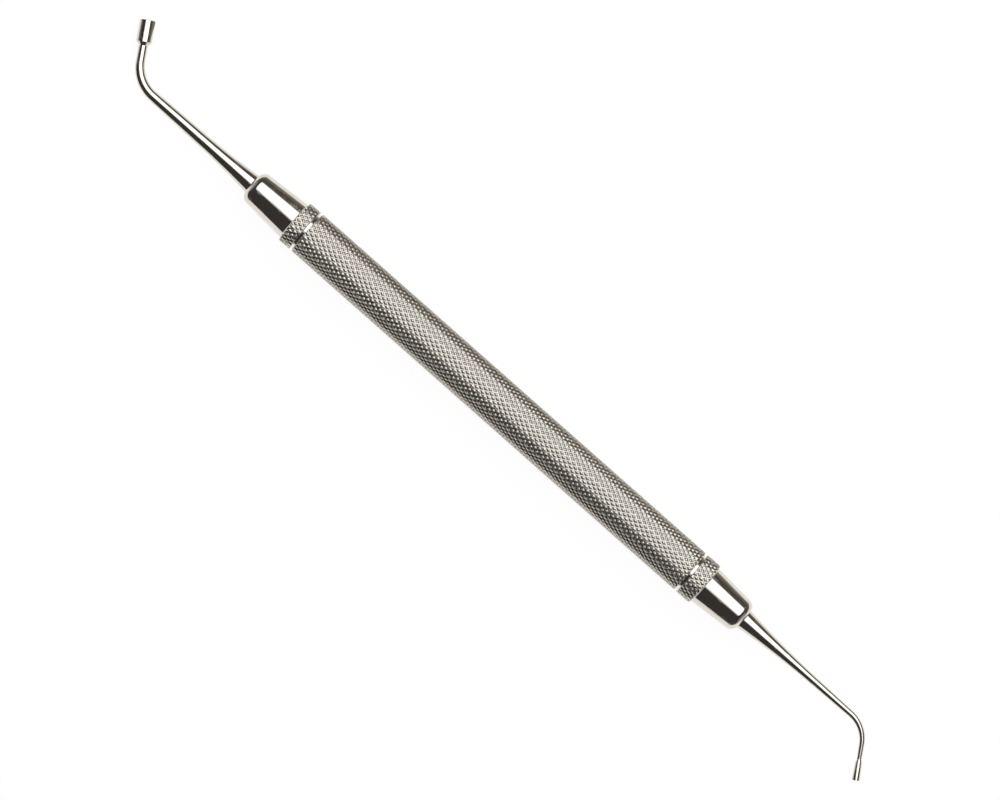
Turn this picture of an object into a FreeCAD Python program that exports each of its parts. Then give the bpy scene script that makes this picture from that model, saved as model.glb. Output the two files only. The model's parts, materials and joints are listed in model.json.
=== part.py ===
import FreeCAD, Part
import math
import os

# A double-ended dental plugger, lying on a flat surface as it comes to rest.
# Lengths are millimetres and angles are degrees. +X runs along the grip towards the small end, +Z is up.
# The origin is the centre of the instrument's bounding box, down on the surface it lies on.

# Grip: a turned tube that carries the knurl, with a ring groove near each end
grip_length = 90.0
grip_diameter = 8.0
grip_bore = 6.0
grip_chamfer = 0.25
ring_width = 0.55
ring_depth = 0.3
large_ring_from_end = 2.6
small_ring_from_end = 3.1

# Noses: the polished cones that close the grip and hold the tips
nose_base_diameter = 7.05
nose_front_diameter = 5.75
nose_shoulder_radius = 1.5
nose_mouth_break = 0.1
large_nose_length = 9.3
small_nose_length = 8.6
spigot_length = 8.0

# Tips: each one piece, from the tang in the nose through the bent shank to the nib
root_diameter = 3.55
tang_length = 9.0
nib_edge_break = 0.05

large_waist_from_mouth = 11.0
large_waist_diameter = 2.2
large_straight_length = 21.7
large_bend_radius = 6.3
large_bend_angle = 58.5
large_neck_length = 2.55
large_neck_diameter = 1.5
large_flare_length = 0.6
large_nib_length = 3.6
large_nib_back_diameter = 2.6
large_nib_face_diameter = 2.6

small_waist_from_mouth = 15.0
small_waist_diameter = 1.45
small_straight_length = 23.4
small_bend_radius = 5.5
small_bend_angle = 58.0
small_neck_length = 2.5
small_neck_diameter = 0.82
small_flare_length = 0.6
small_nib_length = 2.9
small_nib_back_diameter = 1.15
small_nib_face_diameter = 1.35

# A bend is drawn through round sections this many equal steps apart, by curves of this degree
bend_steps = 14
bend_degree = 2

along = FreeCAD.Vector(1, 0, 0)
sideways = FreeCAD.Vector(0, 1, 0)
upright = FreeCAD.Vector(0, 0, 1)
start = FreeCAD.Vector(0, 0, 0)


def point(x, y):
    return FreeCAD.Vector(x, y, 0)


def line(a, b):
    return Part.LineSegment(a, b).toShape()


def taper(a, b):
    """A sloping side of a slim turned shape: a straight spline, whose facets run its whole length."""
    return Part.LineSegment(a, b).toBSpline().toShape()


def turned(edges):
    """The solid that a closed outline in the XY plane, one edge of it on the X axis or beside it, leaves when turned."""
    return Part.Face(Part.Wire(edges)).revolve(start, along, 360)


def turned_from_points(outline):
    """The same for an outline of straight edges, given as its corners (x, radius)."""
    corners = [point(x, radius) for x, radius in outline]
    return turned([line(a, b) for a, b in zip(corners, corners[1:] + corners[:1])])


def rounded_corner(before, corner, after, radius):
    """Start, middle and end of the arc that rounds the corner of an outline to this radius."""
    back = (before - corner).normalize()
    ahead = (after - corner).normalize()
    half_angle = back.getAngle(ahead) / 2
    reach = radius / math.tan(half_angle)
    inward = (back + ahead).normalize()
    middle = corner + inward * (radius / math.sin(half_angle) - radius)
    return corner + back * reach, middle, corner + ahead * reach


def ring_groove(middle):
    """The four corners of one ring groove, from its -X lip to its +X lip."""
    near = middle - ring_width / 2
    far = middle + ring_width / 2
    crest = grip_diameter / 2
    floor = crest - ring_depth
    return [(near, crest), (near, floor), (far, floor), (far, crest)]


def make_grip():
    end = grip_length / 2
    crest = grip_diameter / 2
    bore = grip_bore / 2
    outline = [(-end, bore), (-end, crest - grip_chamfer), (-end + grip_chamfer, crest)]
    outline += ring_groove(-end + large_ring_from_end)
    outline += ring_groove(end - small_ring_from_end)
    outline += [(end - grip_chamfer, crest), (end, crest - grip_chamfer), (end, bore)]
    return turned_from_points(outline)


def make_nose(length):
    """A nose along +X, its base on the grip's end face at x = 0 and its spigot in the grip's bore."""
    spigot = grip_bore / 2
    base = point(0, nose_base_diameter / 2)
    front_corner = point(length, nose_front_diameter / 2)
    front_centre = point(length, 0)
    shoulder_start, shoulder_middle, shoulder_end = rounded_corner(
        base, front_corner, front_centre, nose_shoulder_radius
    )
    corners = [
        front_centre,
        point(-spigot_length, 0),
        point(-spigot_length, spigot),
        point(0, spigot),
        base,
        shoulder_start,
    ]
    shoulder = Part.Arc(shoulder_start, shoulder_middle, shoulder_end).toShape()
    blank = turned(
        [line(a, b) for a, b in zip(corners, corners[1:])] + [shoulder, line(shoulder_end, front_centre)]
    )
    root = root_diameter / 2
    socket = turned_from_points(
        [
            (length - tang_length, 0),
            (length - tang_length, root),
            (length - nose_mouth_break, root),
            (length + nose_mouth_break, root + 2 * nose_mouth_break),
            (length + nose_mouth_break, 0),
        ]
    )
    return blank.cut(socket)


def hollow_arc(near, far, slope):
    """The arc from near to far, hollow to the outside, that meets far along a straight of this slope."""
    outward = FreeCAD.Vector(-slope, 1, 0).normalize()
    chord = near - far
    radius = chord.dot(chord) / (2 * outward.dot(chord))
    centre = far + outward * radius
    towards_middle = ((near + far) / 2 - centre).normalize()
    return Part.Arc(near, centre + towards_middle * radius, far).toShape()


def make_tip(
    waist_from_mouth,
    waist_diameter,
    straight_length,
    bend_radius,
    bend_angle,
    neck_length,
    neck_diameter,
    flare_length,
    nib_length,
    nib_back_diameter,
    nib_face_diameter,
):
    """A tip that leaves the nose's mouth at the origin along +X and bends towards +Y."""
    turn = math.radians(bend_angle)
    bend_length = bend_radius * turn
    taper_length = straight_length + bend_length + neck_length - waist_from_mouth
    slope = (neck_diameter - waist_diameter) / 2 / taper_length

    def shank_radius(distance):
        return waist_diameter / 2 + slope * (distance - waist_from_mouth)

    # The tang and the straight of the shank, thick at the mouth and hollowed down to its waist
    root = root_diameter / 2
    bend_start = point(straight_length, shank_radius(straight_length))
    waist = point(waist_from_mouth, waist_diameter / 2)
    tang_end = point(-tang_length, 0)
    tang_corner = point(-tang_length, root)
    mouth = point(0, root)
    straight = turned(
        [
            line(tang_end, tang_corner),
            line(tang_corner, mouth),
            hollow_arc(mouth, waist, slope),
            taper(waist, bend_start),
            line(bend_start, point(straight_length, 0)),
            line(point(straight_length, 0), tang_end),
        ]
    )

    # The bend: a loft through round sections along the arc, which keep the shank's taper all the way
    centre = point(straight_length, bend_radius)

    def on_arc(angle):
        return centre + point(math.sin(angle), -math.cos(angle)) * bend_radius

    def section(angle):
        heading = point(math.cos(angle), math.sin(angle))
        radius = shank_radius(straight_length + bend_radius * angle)
        return Part.Wire(Part.makeCircle(radius, on_arc(angle), heading))

    sections = [section(turn * i / bend_steps) for i in range(bend_steps + 1)]
    bend = Part.makeLoft(sections, True, False, False, bend_degree)

    # The neck, the flare and the nib, turned along +X and then set at the end of the bend
    flare = neck_length + flare_length
    face = flare + nib_length
    sides = [
        point(0, shank_radius(straight_length + bend_length)),
        point(neck_length, neck_diameter / 2),
        point(flare, nib_back_diameter / 2),
        point(face - nib_edge_break, nib_face_diameter / 2),
        point(face, nib_face_diameter / 2 - nib_edge_break),
    ]
    face_centre = point(face, 0)
    nib = turned(
        [line(start, sides[0])]
        + [taper(a, b) for a, b in zip(sides, sides[1:])]
        + [line(sides[-1], face_centre), line(face_centre, start)]
    )
    nib.Placement = FreeCAD.Placement(on_arc(turn), FreeCAD.Rotation(upright, bend_angle))
    return straight.fuse([bend, nib]).removeSplitter()


def nib_rim_offset(bend_radius, bend_angle, neck_length, flare_length, nib_length):
    """How far from the grip's axis the centre of the nib's outer edge stands."""
    turn = math.radians(bend_angle)
    reach = neck_length + flare_length + nib_length - nib_edge_break
    return bend_radius * (1 - math.cos(turn)) + reach * math.sin(turn)


def resting_roll():
    """The roll at which the grip's side and the large nib's edge both touch the surface.

    With s = sin(roll), the lowest point of the edge is level with the grip's side where
    grip - offset * s = nib * sqrt(1 - (sin(bend) * s)^2), which is a quadratic in s.
    """
    grip = grip_diameter / 2
    nib = large_nib_face_diameter / 2
    offset = nib_rim_offset(
        large_bend_radius, large_bend_angle, large_neck_length, large_flare_length, large_nib_length
    )
    a = offset**2 + (nib * math.sin(math.radians(large_bend_angle))) ** 2
    b = grip * offset
    c = grip**2 - nib**2
    return math.degrees(math.asin((b - math.sqrt(b**2 - a * c)) / a))


def placed(shape, x, axis):
    """The shape turned half round about an axis, and then moved along the grip's axis to x."""
    shape.Placement = FreeCAD.Placement(along * x, FreeCAD.Rotation(axis, 180))
    return shape


large_tip = make_tip(
    waist_from_mouth=large_waist_from_mouth,
    waist_diameter=large_waist_diameter,
    straight_length=large_straight_length,
    bend_radius=large_bend_radius,
    bend_angle=large_bend_angle,
    neck_length=large_neck_length,
    neck_diameter=large_neck_diameter,
    flare_length=large_flare_length,
    nib_length=large_nib_length,
    nib_back_diameter=large_nib_back_diameter,
    nib_face_diameter=large_nib_face_diameter,
)
small_tip = make_tip(
    waist_from_mouth=small_waist_from_mouth,
    waist_diameter=small_waist_diameter,
    straight_length=small_straight_length,
    bend_radius=small_bend_radius,
    bend_angle=small_bend_angle,
    neck_length=small_neck_length,
    neck_diameter=small_neck_diameter,
    flare_length=small_flare_length,
    nib_length=small_nib_length,
    nib_back_diameter=small_nib_back_diameter,
    nib_face_diameter=small_nib_face_diameter,
)

# The large end points along -X with its nib bent to +Y, the small end along +X with its nib bent to -Y
grip_end = grip_length / 2
pieces = {
    "handle": make_grip(),
    "large_end_nose": placed(make_nose(large_nose_length), -grip_end, sideways),
    "small_end_nose": placed(make_nose(small_nose_length), grip_end, along),
    "large_end_tip": placed(large_tip, -grip_end - large_nose_length, sideways),
    "small_end_tip": placed(small_tip, grip_end + small_nose_length, along),
}

# The whole instrument rolls down onto the large nib, and then moves to its frame
for piece in pieces.values():
    piece.rotate(start, along, -resting_roll())
box = Part.makeCompound(list(pieces.values())).optimalBoundingBox(False)
to_frame = FreeCAD.Vector(-box.Center.x, -box.Center.y, -box.ZMin)
for name, piece in pieces.items():
    piece.translate(to_frame)
    piece.exportStep(f"parts/{name}.step")
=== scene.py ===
import json
import math

import bmesh
import bpy
from mathutils import Matrix, Vector


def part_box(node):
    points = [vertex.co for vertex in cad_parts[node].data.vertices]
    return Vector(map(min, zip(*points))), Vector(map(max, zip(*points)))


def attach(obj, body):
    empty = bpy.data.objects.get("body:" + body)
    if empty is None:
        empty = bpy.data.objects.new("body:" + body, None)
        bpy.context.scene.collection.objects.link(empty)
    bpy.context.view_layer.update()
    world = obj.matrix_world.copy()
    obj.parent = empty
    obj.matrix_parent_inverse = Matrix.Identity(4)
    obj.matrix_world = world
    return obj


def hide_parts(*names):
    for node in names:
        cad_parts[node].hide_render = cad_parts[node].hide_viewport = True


# A double-ended dental plugger in polished steel, lying on a pale floor under one large softbox.
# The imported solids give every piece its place, and a finished piece of the same size replaces each of them.
# Pieces are drawn in millimetres along +X, and set in the frame, in metres, when they are finished.

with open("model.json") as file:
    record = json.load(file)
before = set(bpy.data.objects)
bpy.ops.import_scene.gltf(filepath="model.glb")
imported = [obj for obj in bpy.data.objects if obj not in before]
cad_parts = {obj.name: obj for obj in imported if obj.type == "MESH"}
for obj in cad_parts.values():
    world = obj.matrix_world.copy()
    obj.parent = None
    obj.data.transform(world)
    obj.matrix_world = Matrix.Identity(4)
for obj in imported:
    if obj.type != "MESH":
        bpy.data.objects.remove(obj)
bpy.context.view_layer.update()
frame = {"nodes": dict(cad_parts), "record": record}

mounts = {mount["name"]: mount for mount in frame["record"]["mounts"]}
to_metres = 0.001

# How finely round shapes are drawn, and how near a point counts as touching, in millimetres
turning_steps = 96
arc_steps = 24
taper_steps = 96
weld_distance = 0.0005
cut_tolerance = 0.0001

# Edges are shaded sharp where they turn by more degrees than this, on turned pieces and on the worn knurl
turned_edge_angle = 30
worn_edge_angle = 60

# Grip: a turned tube with a diamond knurl and a ring groove near each end
grip_low, grip_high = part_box("handle")
grip_middle = Vector(mounts["grip"]["pos_m"])
grip_length = (grip_high.x - grip_low.x) / to_metres
grip_radius = grip_middle.z / to_metres
grip_bore_radius = 3.0
grip_chamfer = 0.25
ring_width = 0.55
ring_depth = 0.3
ring_floor_share = 0.75
large_ring_from_end = 2.6
small_ring_from_end = 3.1

# Knurl: two crossed families of grooves, which leave rows of flat-topped diamonds
knurl_starts = 32
knurl_depth = 0.13
diamond_length = 1.3
groove_half_width = 0.105
groove_hollow = 0.023
flank_width = 0.145

# Noses: the polished cones that close the grip and hold the tips
nose_base_radius = 3.525
nose_front_radius = 2.875
nose_shoulder_radius = 1.5
nose_mouth_break = 0.1
nose_base_break = 0.06
large_nose_length = 9.3
small_nose_length = 8.6
spigot_length = 8.0

# Tips: each is turned straight, from its tang to its nib, and then bent
root_radius = 1.775
tang_length = 9.0
flare_length = 0.6
nib_edge_break = 0.05

# Colour of the white table and the white card, as the metal reflects them
warm_white = (0.97, 0.95, 0.9)


class Profile:
    """The outline of a turned piece, drawn point by point: x runs along the axis, and y is the radius."""

    def __init__(self, x, radius):
        self.bm = bmesh.new()
        self.pen = self.bm.verts.new((x, radius, 0))

    def line(self, x, radius, steps=1):
        start = self.pen.co.copy()
        end = Vector((x, radius, 0))
        for step in range(steps):
            vert = self.bm.verts.new(start.lerp(end, (step + 1) / steps))
            self.bm.edges.new((self.pen, vert))
            self.pen = vert

    def arc(self, centre, angle, steps):
        swept = bmesh.ops.spin(
            self.bm, geom=[self.pen], cent=(centre.x, centre.y, 0), axis=(0, 0, 1), angle=angle, steps=steps
        )
        self.pen = [part for part in swept["geom_last"] if isinstance(part, bmesh.types.BMVert)][0]

    def turned(self):
        """The outline swept once round the axis, closed at both poles."""
        outline = self.bm.verts[:] + self.bm.edges[:]
        bmesh.ops.spin(
            self.bm,
            geom=outline,
            cent=(0, 0, 0),
            axis=(1, 0, 0),
            angle=2 * math.pi,
            steps=turning_steps,
            use_merge=True,
        )
        bmesh.ops.remove_doubles(self.bm, verts=self.bm.verts, dist=weld_distance)
        bmesh.ops.recalc_face_normals(self.bm, faces=self.bm.faces)
        shade(self.bm, sharp_angle=turned_edge_angle)
        return self.bm


def set_in_frame(bm, x, out, across):
    """Moves a piece drawn along +X to the grip's axis at x, pointing out, with its +Y turned across."""
    facing = Matrix((out, across, out.cross(across))).transposed().to_4x4()
    place = Matrix.Translation(Vector((x * to_metres, grip_middle.y, grip_middle.z)))
    bmesh.ops.transform(bm, matrix=place @ facing @ Matrix.Scale(to_metres, 4), verts=bm.verts)


def shade(bm, sharp_angle):
    """Shades the mesh smooth, apart from marked edges and those that turn by more than this angle."""
    for face in bm.faces:
        face.smooth = True
    for edge in bm.edges:
        edge.smooth = edge.smooth and edge.calc_face_angle(0) < math.radians(sharp_angle)


def mark_outlines(faces, smooth):
    """Marks the edges round these faces as smooth or sharp."""
    for face in faces:
        for edge in face.edges:
            edge.smooth = smooth


def finished(bm, name, node, material):
    """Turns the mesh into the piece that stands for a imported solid."""
    mesh = bpy.data.meshes.new(name)
    bm.to_mesh(mesh)
    bm.free()
    mesh.materials.append(material)
    piece = bpy.data.objects.new(name, mesh)
    bpy.context.scene.collection.objects.link(piece)
    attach(piece, "root")
    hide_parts(node)


def faces_between(bm, near, far):
    return [face for face in bm.faces if near < face.calc_center_median().x < far]


def set_radius(verts, radius):
    """Moves vertices towards or from the X axis, to this distance from it."""
    for vert in verts:
        spread = Vector((0, vert.co.y, vert.co.z)).normalized() * radius
        vert.co = (vert.co.x, spread.y, spread.z)


def diamond_sheet():
    """The knurl unrolled: x along the grip, y around it, z the height above the grooves' floor."""
    rows = round(grip_length / diamond_length)
    half_long = grip_length / rows / 2
    half_round = math.pi * grip_radius / knurl_starts
    cells = 2 * math.ceil((rows + knurl_starts) / 2) + 4
    bm = bmesh.new()
    bmesh.ops.create_grid(bm, x_segments=cells, y_segments=cells, size=cells / 2)
    slant = Matrix(((half_long, half_long, 0), (-half_round, half_round, 0), (0, 0, 1)))
    bmesh.ops.transform(bm, matrix=slant.to_4x4(), verts=bm.verts)

    # Whole diamonds are kept once round the grip, and a little past both ends
    half_turn = math.pi * grip_radius
    outside = []
    for face in bm.faces:
        centre = face.calc_center_median()
        once_round = -half_turn - half_round / 2 < centre.y < half_turn - half_round / 2
        if not once_round or abs(centre.x) > grip_length / 2 + half_long / 2:
            outside.append(face)
    bmesh.ops.delete(bm, geom=outside, context="FACES")

    # Each diamond stands on sloping flanks between grooves, which are hollowed along their middle
    middles = bm.verts[:]
    diamonds = bm.faces[:]
    bmesh.ops.inset_individual(bm, faces=diamonds, thickness=groove_half_width, use_even_offset=True)
    bmesh.ops.translate(bm, vec=(0, 0, -groove_hollow), verts=middles)
    bmesh.ops.inset_individual(
        bm, faces=diamonds, thickness=flank_width, depth=knurl_depth, use_even_offset=True
    )
    mark_outlines(bm.faces, smooth=False)
    mark_outlines(diamonds, smooth=True)
    return bm


def cut_across(bm, x, keep=None):
    """Cuts the sheet at x, and throws away what lies past it when keep is the side to keep."""
    bmesh.ops.bisect_plane(
        bm,
        geom=bm.verts[:] + bm.edges[:] + bm.faces[:],
        dist=cut_tolerance,
        plane_co=(x, 0, 0),
        plane_no=(keep or 1, 0, 0),
        clear_inner=keep is not None,
    )


def make_grip(material):
    end = grip_length / 2
    rings = [-end + large_ring_from_end, end - small_ring_from_end]
    bm = diamond_sheet()
    cut_across(bm, -end, keep=1)
    cut_across(bm, end, keep=-1)
    for share_of_chamfer in (0.2, 0.5, 0.75, 1):
        cut_across(bm, -end + grip_chamfer * share_of_chamfer)
        cut_across(bm, end - grip_chamfer * share_of_chamfer)
    for ring in rings:
        cut_across(bm, ring - ring_width / 2)
        cut_across(bm, ring + ring_width / 2)

    # The sheet is rolled round the axis, and the end chamfers are turned on it
    for vert in bm.verts:
        angle = vert.co.y / grip_radius
        radius = grip_radius - knurl_depth + vert.co.z
        radius = min(radius, grip_radius - grip_chamfer + end - abs(vert.co.x))
        vert.co = (vert.co.x, radius * math.sin(angle), radius * math.cos(angle))
    bmesh.ops.remove_doubles(bm, verts=bm.verts, dist=weld_distance)

    # Each ring groove is pressed down from the knurl, between walls that lean out a little
    for ring in rings:
        strip = faces_between(bm, ring - ring_width / 2, ring + ring_width / 2)
        pressed = bmesh.ops.extrude_face_region(bm, geom=strip)["geom"]
        bmesh.ops.delete(bm, geom=strip, context="FACES")
        floor = [part for part in pressed if isinstance(part, bmesh.types.BMVert)]
        set_radius(floor, grip_radius - ring_depth)
        for vert in floor:
            vert.co.x = ring + (vert.co.x - ring) * ring_floor_share

    # The end faces run in to the bore, which joins them through the grip
    rims = [edge for edge in bm.edges if edge.is_boundary]
    inner = bmesh.ops.extrude_edge_only(bm, edges=rims)["geom"]
    set_radius([part for part in inner if isinstance(part, bmesh.types.BMVert)], grip_bore_radius)
    bore = [edge for edge in bm.edges if edge.is_boundary]
    bmesh.ops.bridge_loops(bm, edges=bore)
    bmesh.ops.recalc_face_normals(bm, faces=bm.faces)

    # The diamonds' worn edges are shaded round, and the turned ends keep their edges
    shade(bm, sharp_angle=worn_edge_angle)
    past_chamfer = end - grip_chamfer * 1.5
    for edge in bm.edges:
        at_end = [abs(vert.co.x) > past_chamfer for vert in edge.verts]
        if all(at_end) and edge.calc_face_angle(0) > math.radians(turned_edge_angle):
            edge.smooth = False
    set_in_frame(bm, grip_middle.x / to_metres, Vector((1, 0, 0)), Vector((0, 1, 0)))
    finished(bm, "knurled_grip", "handle", material)


def make_nose(name, node, length, end_x, side, material):
    """A nose with its base on the grip's end face, its spigot in the grip, and a socket for the tang."""
    slope = (nose_base_radius - nose_front_radius) / length
    lean = math.atan(slope)
    shoulder_x = length - nose_shoulder_radius
    shoulder_y = nose_front_radius + slope * nose_shoulder_radius - nose_shoulder_radius / math.cos(lean)
    # Where the 45-degree break at the socket's mouth meets the shoulder
    meeting = (shoulder_y - root_radius - nose_mouth_break + nose_shoulder_radius) / nose_shoulder_radius
    mouth_angle = math.acos(meeting / math.sqrt(2)) - math.pi / 4
    mouth_x = shoulder_x + nose_shoulder_radius * math.cos(mouth_angle)
    mouth_y = shoulder_y + nose_shoulder_radius * math.sin(mouth_angle)

    profile = Profile(length - tang_length, 0)
    profile.line(length - tang_length, root_radius)
    profile.line(length - nose_mouth_break, root_radius)
    profile.line(mouth_x, mouth_y)
    profile.arc(Vector((shoulder_x, shoulder_y)), math.pi / 2 - lean - mouth_angle, arc_steps)
    profile.line(nose_base_break, nose_base_radius - slope * nose_base_break)
    profile.line(0, nose_base_radius - nose_base_break)
    profile.line(0, grip_bore_radius)
    profile.line(-spigot_length, grip_bore_radius)
    profile.line(-spigot_length, 0)
    bm = profile.turned()
    set_in_frame(bm, end_x, Vector((side, 0, 0)), Vector((0, 1, 0)))
    finished(bm, name, node, material)


def bend(bm, straight_length, radius, angle):
    """Bends a piece that was turned along +X towards +Y, from the end of its straight."""
    for vert in bm.verts:
        past = vert.co.x - straight_length
        if past <= 0:
            continue
        turn = min(past / radius, angle)
        heading = Vector((math.cos(turn), math.sin(turn)))
        inward = Vector((-heading.y, heading.x))
        centre = Vector((straight_length, radius))
        flat = centre - inward * radius + heading * (past - turn * radius) + inward * vert.co.y
        vert.co = (flat.x, flat.y, vert.co.z)


def make_tip(
    name,
    node,
    mount,
    mouth_x,
    waist_from_mouth,
    waist_radius,
    straight_length,
    bend_radius,
    neck_length,
    neck_radius,
    nib_length,
    nib_back_radius,
    nib_face_radius,
    material,
):
    """A tip: its tang, the shank's hollowed root, the taper through the bend to the neck, and the nib."""
    nib_axis = Vector(mounts[mount]["axis"]).normalized()
    out = Vector((math.copysign(1, nib_axis.x), 0, 0))
    across = Vector((0, nib_axis.y, nib_axis.z)).normalized()
    angle = math.acos(abs(nib_axis.x))

    neck_end = straight_length + bend_radius * angle + neck_length
    slope = (neck_radius - waist_radius) / (neck_end - waist_from_mouth)
    flare_end = neck_end + flare_length
    face = flare_end + nib_length

    # The root is hollowed by an arc that runs into the taper at the waist
    outward = Vector((-slope, 1)).normalized()
    waist = Vector((waist_from_mouth, waist_radius))
    chord = Vector((0, root_radius)) - waist
    hollow_radius = chord.dot(chord) / (2 * outward.dot(chord))
    hollow_centre = waist + outward * hollow_radius
    hollow_angle = (Vector((0, root_radius)) - hollow_centre).angle(waist - hollow_centre)

    profile = Profile(-tang_length, 0)
    profile.line(-tang_length, root_radius)
    profile.line(0, root_radius)
    profile.arc(hollow_centre, hollow_angle, arc_steps)
    profile.line(neck_end, neck_radius, taper_steps)
    profile.line(flare_end, nib_back_radius)
    profile.line(face - nib_edge_break, nib_face_radius)
    profile.line(face, nib_face_radius - nib_edge_break)
    profile.line(face, 0)
    bm = profile.turned()
    bend(bm, straight_length, bend_radius, angle)
    set_in_frame(bm, mouth_x, out, across)
    finished(bm, name, node, material)


class Wire:
    """One output of a node. Arithmetic on it, and abs() of it, adds Math nodes."""

    def __init__(self, nodes, socket):
        self.nodes = nodes
        self.socket = socket

    def math(self, operation, a, b):
        return self.nodes.add("ShaderNodeMath", {"operation": operation}, {0: a, 1: b})

    def __add__(self, other):
        return self.math("ADD", self, other)

    def __sub__(self, other):
        return self.math("SUBTRACT", self, other)

    def __rsub__(self, other):
        return self.math("SUBTRACT", other, self)

    def __mul__(self, other):
        return self.math("MULTIPLY", self, other)

    def __rtruediv__(self, other):
        return self.math("DIVIDE", other, self)

    def __abs__(self):
        return self.nodes.add("ShaderNodeMath", {"operation": "ABSOLUTE"}, {0: self})

    __radd__ = __add__
    __rmul__ = __mul__


class Nodes:
    """The nodes of one material or of the world."""

    def __init__(self, owner):
        owner.use_nodes = True
        self.tree = owner.node_tree
        self.tree.nodes.clear()

    def add(self, kind, settings=None, inputs=None, output=0):
        """Adds a node, sets it up, fills or links its inputs, and gives one of its outputs."""
        node = self.tree.nodes.new(kind)
        for name, value in (settings or {}).items():
            setattr(node, name, value)
        for name, value in (inputs or {}).items():
            if isinstance(value, Wire):
                self.tree.links.new(value.socket, node.inputs[name])
            else:
                node.inputs[name].default_value = value
        return Wire(self, node.outputs[output]) if node.outputs else None

    def noise(self, where, scale, detail=2.0, roughness=0.5):
        return self.add(
            "ShaderNodeTexNoise",
            {"noise_dimensions": "3D"},
            {"Vector": where, "Scale": scale, "Detail": detail, "Roughness": roughness},
        )

    def placed(self, scale=(1, 1, 1), turn=(0, 0, 0)):
        """Object coordinates, stretched and turned for a pattern."""
        where = self.add("ShaderNodeTexCoord", output="Object")
        return self.add("ShaderNodeMapping", inputs={"Vector": where, "Scale": scale, "Rotation": turn})

    def ranged(self, value, low, high, to_low=0.0, to_high=1.0):
        """The value stretched so that low and high become to_low and to_high, and held within them."""
        inputs = {"Value": value, "From Min": low, "From Max": high, "To Min": to_low, "To Max": to_high}
        return self.add("ShaderNodeMapRange", {"interpolation_type": "SMOOTHSTEP"}, inputs)

    def blended(self, factor, a, b):
        """Two colours mixed by a factor."""
        settings = {"data_type": "RGBA"}
        inputs = {"Factor": factor, 6: (*a, 1), 7: (*b, 1)}
        return self.add("ShaderNodeMix", settings, inputs, output=2)


def scratches(nodes, turn, scale, gaps):
    """Thin, straight scratches in one direction: 1 on a scratch and 0 beside it."""
    along = nodes.placed(scale=(0.04, 1, 1), turn=turn)
    lines = nodes.noise(along, scale, detail=0.0)
    half_width = 0.012
    crests = 1 - nodes.ranged(abs(lines - 0.5), 0.0, half_width)
    patches = nodes.ranged(nodes.noise(nodes.placed(), gaps, detail=1.0), 0.52, 0.66)
    return crests * patches


def finish_steel(nodes, colour, roughness, marks):
    """Makes the surface bare steel of this colour and roughness, with its marks as a faint bump."""
    depth = {"Strength": 0.3, "Distance": 0.00002}
    bump = nodes.add("ShaderNodeBump", inputs={**depth, "Height": marks}, output="Normal")
    inputs = {"Base Color": colour, "Metallic": 1.0, "Roughness": roughness, "Normal": bump}
    shader = nodes.add("ShaderNodeBsdfPrincipled", inputs=inputs)
    nodes.add("ShaderNodeOutputMaterial", inputs={"Surface": shader})


def make_polished_steel():
    """Stainless steel buffed to a mirror: faint lathe marks round it, a few hair scratches, thin smears."""
    material = bpy.data.materials.new("polished_steel")
    nodes = Nodes(material)
    lathe = nodes.noise(nodes.placed(scale=(1, 0.03, 0.03)), 9000, detail=3.0, roughness=0.6)
    smears = nodes.noise(nodes.placed(), 260, detail=4.0, roughness=0.6)
    hairs = scratches(nodes, (0.3, 0.5, 0.6), 2600, 420)
    hairs = hairs + scratches(nodes, (0.1, -0.4, -0.9), 3100, 510)
    smeared = nodes.ranged(smears, 0.35, 0.7)
    clean_colour = (0.73, 0.715, 0.69)
    smeared_colour = (0.68, 0.665, 0.635)
    colour = nodes.blended(smeared, clean_colour, smeared_colour)
    roughness = smeared * 0.04 + lathe * 0.03 + hairs * 0.12 + 0.06
    finish_steel(nodes, colour, roughness, lathe * 0.25 - hairs)
    return material


def make_knurled_steel():
    """The knurl: rolled grooves a little rougher than the crests and than the turned ring grooves, and
    coloured darker than them as painted shade in the recesses.
    """
    material = bpy.data.materials.new("knurled_steel")
    nodes = Nodes(material)
    where = nodes.add("ShaderNodeTexCoord", output="Object")
    from_axis = nodes.add(
        "ShaderNodeVectorMath", {"operation": "SUBTRACT"}, {0: where, 1: (0, grip_middle.y, grip_middle.z)}
    )
    across = nodes.add("ShaderNodeVectorMath", {"operation": "MULTIPLY"}, {0: from_axis, 1: (0, 1, 1)})
    radius = nodes.add("ShaderNodeVectorMath", {"operation": "LENGTH"}, {0: across}, output="Value")
    floor = (grip_radius - knurl_depth) * to_metres
    crest = nodes.ranged(radius, floor + 0.00004, grip_radius * to_metres - 0.00001)
    turned = nodes.ranged(radius, floor - 0.00008, floor - 0.00013)
    grain = nodes.noise(nodes.placed(), 9000, detail=3.0, roughness=0.6)
    smears = nodes.ranged(nodes.noise(nodes.placed(), 300, detail=3.0), 0.35, 0.7)
    # The grooves get a darker colour than the crests and the turned floors: this is painted shade in the
    # knurl's recesses
    groove_painted_shade_colour = (0.68, 0.66, 0.62)
    bright_colour = (0.78, 0.765, 0.73)
    colour = nodes.blended(crest + turned, groove_painted_shade_colour, bright_colour)
    roughness = 0.14 - crest * 0.03 - turned * 0.06 + smears * 0.04 + grain * 0.04
    finish_steel(nodes, colour, roughness, grain)
    return material


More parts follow.
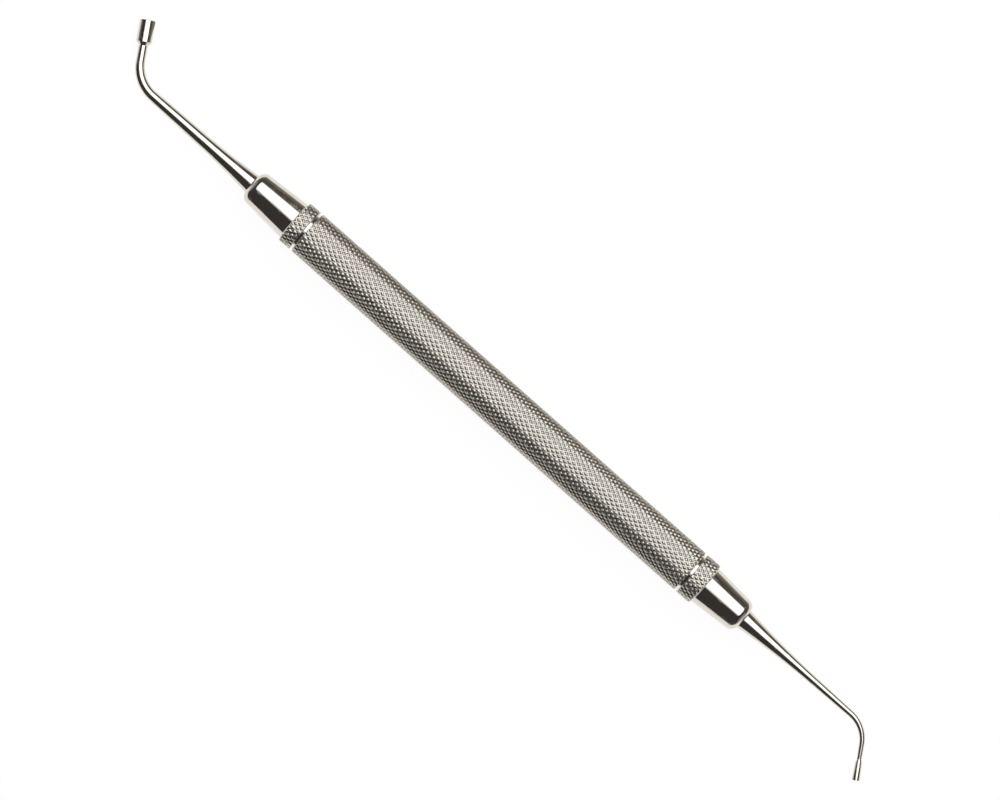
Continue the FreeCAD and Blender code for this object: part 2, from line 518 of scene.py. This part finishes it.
def sheet(name, size, turn, place, material):
    """A flat sheet of the set, turned about X and then put in its place. It isn't part of the object."""
    bm = bmesh.new()
    bmesh.ops.create_grid(bm, x_segments=1, y_segments=1, size=0.5)
    bmesh.ops.scale(bm, vec=(size[0], size[1], 1), verts=bm.verts)
    bmesh.ops.rotate(bm, cent=(0, 0, 0), matrix=Matrix.Rotation(turn, 3, "X"), verts=bm.verts)
    bmesh.ops.translate(bm, vec=place, verts=bm.verts)
    mesh = bpy.data.meshes.new(name)
    bm.to_mesh(mesh)
    bm.free()
    mesh.materials.append(material)
    flat = bpy.data.objects.new(name, mesh)
    bpy.context.scene.collection.objects.link(flat)
    return flat


def only_in_reflections(thing):
    thing.visible_camera = False
    thing.visible_diffuse = False
    thing.visible_shadow = False


def glowing(name, colour, strength):
    """A material that only glows: a card or a softbox as the metal reflects it."""
    material = bpy.data.materials.new(name)
    nodes = Nodes(material)
    glow = nodes.add("ShaderNodeEmission", inputs={"Color": (*colour, 1), "Strength": strength(nodes)})
    nodes.add("ShaderNodeOutputMaterial", inputs={"Surface": glow})
    return material


def place_along(nodes, direction):
    """How far a point lies along a direction from the origin, in metres."""
    where = nodes.add("ShaderNodeTexCoord", output="Object")
    inputs = {0: where, 1: direction}
    return nodes.add("ShaderNodeVectorMath", {"operation": "DOT_PRODUCT"}, inputs, output="Value")


def make_floor():
    """A white table top: plain white to the camera and in the metal, with the object's faint shadow."""
    material = bpy.data.materials.new("white_table")
    nodes = Nodes(material)
    camera = nodes.add("ShaderNodeLightPath", output="Is Camera Ray")
    glossy = nodes.add("ShaderNodeLightPath", output="Is Glossy Ray")
    clear = nodes.add("ShaderNodeLightPath", output="Is Transmission Ray")
    matt = nodes.add("ShaderNodeBsdfDiffuse", inputs={"Color": (0.85, 0.85, 0.84, 1)})
    colour = nodes.blended(glossy, (1, 1, 1), warm_white)
    white = nodes.add("ShaderNodeEmission", inputs={"Color": colour, "Strength": 1.04})
    plain_share = 0.88
    shown = (camera + clear) * plain_share + glossy
    mixed = nodes.add("ShaderNodeMixShader", inputs={"Fac": shown, 1: matt, 2: white})
    nodes.add("ShaderNodeOutputMaterial", inputs={"Surface": mixed})
    sheet("white_table", (4, 4), 0, (0, 0, 0), material)


def make_cards():
    """A dark card over the table's far half and a low white card at its near side, seen in the metal."""
    near_edge = 0.0075
    reach = 1.5
    above_table = 0.0004

    def fading(nodes):
        """Brightest at the near edge, and darker further out."""
        nearness = 0.0019 / place_along(nodes, (0, 1, 0))
        return nodes.ranged(nearness, 0.0, 0.4, 0.07, 0.4)

    dark = glowing("dark_card", (1, 0.87, 0.7), fading)
    place = (0, near_edge + reach / 2, above_table)
    only_in_reflections(sheet("dark_card", (4, reach), 0, place, dark))

    distance = 0.5
    rise = math.radians(11)
    height = distance * math.tan(rise)
    white = glowing("white_card", warm_white, lambda nodes: 1.0)
    place = (0, -distance, height / 2)
    only_in_reflections(sheet("white_card", (3, height), math.pi / 2, place, white))


def make_softbox():
    """One large softbox high on the +Y side: a lamp for the table, and its glowing front in the metal."""
    distance = 0.5
    length = 0.68
    near, far = math.radians(4), math.radians(77)
    tilt = (near + far) / 2
    width = 2 * distance * math.tan((far - near) / 2)
    along = Vector((1, 0, 0))
    back = Vector((0, math.sin(tilt), math.cos(tilt)))
    across = back.cross(along)
    place = grip_middle + back * distance

    lamp = bpy.data.lights.new("softbox_lamp", "AREA")
    lamp.shape = "RECTANGLE"
    lamp.size = length
    lamp.size_y = width
    radiance = 1.1
    lamp.energy = radiance * math.pi * length * width
    box = bpy.data.objects.new("softbox_lamp", lamp)
    box.location = place
    box.rotation_euler = Matrix((along, across, back)).transposed().to_euler()
    box.visible_camera = False
    box.visible_glossy = False
    bpy.context.scene.collection.objects.link(box)

    def soft_edged(nodes):
        """Fades towards all four edges, with ends that are rounded towards the corners."""
        brightness = 1.9
        rounding = 0.7
        over = place_along(nodes, across) - place.dot(across)
        beside = abs(place_along(nodes, along)) + over * over * rounding
        overhead = nodes.ranged(over, width * 0.5, width * 0.3)
        outer = nodes.ranged(over, -width * 0.5, -width * 0.2)
        ends = nodes.ranged(beside, length * 0.5, length * 0.42)
        return overhead * outer * ends * brightness

    front = glowing("softbox_front", (1, 0.985, 0.95), soft_edged)
    only_in_reflections(sheet("softbox_front", (length, width), -tilt, place, front))


def make_world():
    """A dim room: white to the camera, dark with pale end walls in the metal, soft light on the table."""
    world = bpy.data.worlds.new("room")
    bpy.context.scene.world = world
    nodes = Nodes(world)
    camera = nodes.add("ShaderNodeLightPath", output="Is Camera Ray")
    glossy = nodes.add("ShaderNodeLightPath", output="Is Glossy Ray")
    sky = nodes.add("ShaderNodeTexCoord", output="Generated")

    def towards(direction):
        inputs = {0: sky, 1: direction}
        return nodes.add("ShaderNodeVectorMath", {"operation": "DOT_PRODUCT"}, inputs, output="Value")

    def plain(colour):
        return nodes.add("ShaderNodeBackground", inputs={"Color": colour, "Strength": 1.0})

    far_side = nodes.ranged(towards((0, 1, 0)), 0.2, 0.9)
    near_colour = (0.042, 0.038, 0.034)
    far_colour = (0.09, 0.08, 0.066)
    dark = plain(nodes.blended(far_side, near_colour, far_colour))
    end_walls = nodes.ranged(abs(towards((1, 0, 0))), 0.75, 1.0)
    pale = plain((0.42, 0.41, 0.39, 1))
    dim = nodes.add("ShaderNodeMixShader", inputs={"Fac": end_walls, 1: dark, 2: pale})
    fill = plain((0.6, 0.6, 0.6, 1))
    white = plain((1, 1, 1, 1))
    room = nodes.add("ShaderNodeMixShader", inputs={"Fac": glossy, 1: fill, 2: dim})
    mixed = nodes.add("ShaderNodeMixShader", inputs={"Fac": camera, 1: room, 2: white})
    nodes.add("ShaderNodeOutputWorld", inputs={"Surface": mixed})


def make_camera():
    """A long lens square to the bend plane, with the instrument running down across the frame."""
    nib_axis = Vector(mounts["large_nib_face"]["axis"])
    across = Vector((0, nib_axis.y, nib_axis.z)).normalized()
    along = Vector((1, 0, 0))
    slope = math.radians(41.5)
    right = along * math.cos(slope) + across * math.sin(slope)
    up = across * math.cos(slope) - along * math.sin(slope)
    back = right.cross(up)

    data = bpy.data.cameras.new("camera")
    data.lens = 150
    data.sensor_width = 36
    data.clip_start = 0.01
    data.clip_end = 20
    corners = []
    for name in ("large_end_tip", "small_end_tip", "handle"):
        node = frame["nodes"][name]
        corners += [vert.co for vert in node.data.vertices]
    heights = [corner.dot(up) for corner in corners]
    widths = [corner.dot(right) for corner in corners]
    depth = grip_middle.dot(back)
    middle = right * (max(widths) + min(widths)) / 2 + up * (max(heights) + min(heights)) / 2 + back * depth
    margin = 1.05
    height_to_width = 0.8
    frame_width = (max(heights) - min(heights)) * margin / height_to_width
    distance = frame_width * data.lens / data.sensor_width

    camera = bpy.data.objects.new("camera", data)
    facing = Matrix((right, up, back)).transposed().to_4x4()
    camera.matrix_world = Matrix.Translation(middle + back * distance) @ facing
    bpy.context.scene.collection.objects.link(camera)
    bpy.context.scene.camera = camera


polished_steel = make_polished_steel()
knurled_steel = make_knurled_steel()
grip_low_x = grip_low.x / to_metres
grip_high_x = grip_high.x / to_metres

make_grip(knurled_steel)
make_nose("large_end_cone", "large_end_nose", large_nose_length, grip_low_x, -1, polished_steel)
make_nose("small_end_cone", "small_end_nose", small_nose_length, grip_high_x, 1, polished_steel)
make_tip(
    "large_end_shank",
    "large_end_tip",
    mount="large_nib_face",
    mouth_x=grip_low_x - large_nose_length,
    waist_from_mouth=11.0,
    waist_radius=1.1,
    straight_length=21.7,
    bend_radius=6.3,
    neck_length=2.55,
    neck_radius=0.75,
    nib_length=3.6,
    nib_back_radius=1.3,
    nib_face_radius=1.3,
    material=polished_steel,
)
make_tip(
    "small_end_shank",
    "small_end_tip",
    mount="small_nib_face",
    mouth_x=grip_high_x + small_nose_length,
    waist_from_mouth=15.0,
    waist_radius=0.725,
    straight_length=23.4,
    bend_radius=5.5,
    neck_length=2.5,
    neck_radius=0.41,
    nib_length=2.9,
    nib_back_radius=0.575,
    nib_face_radius=0.675,
    material=polished_steel,
)

make_floor()
make_cards()
make_softbox()
make_world()
make_camera()

bpy.context.scene.view_settings.view_transform = "Standard"
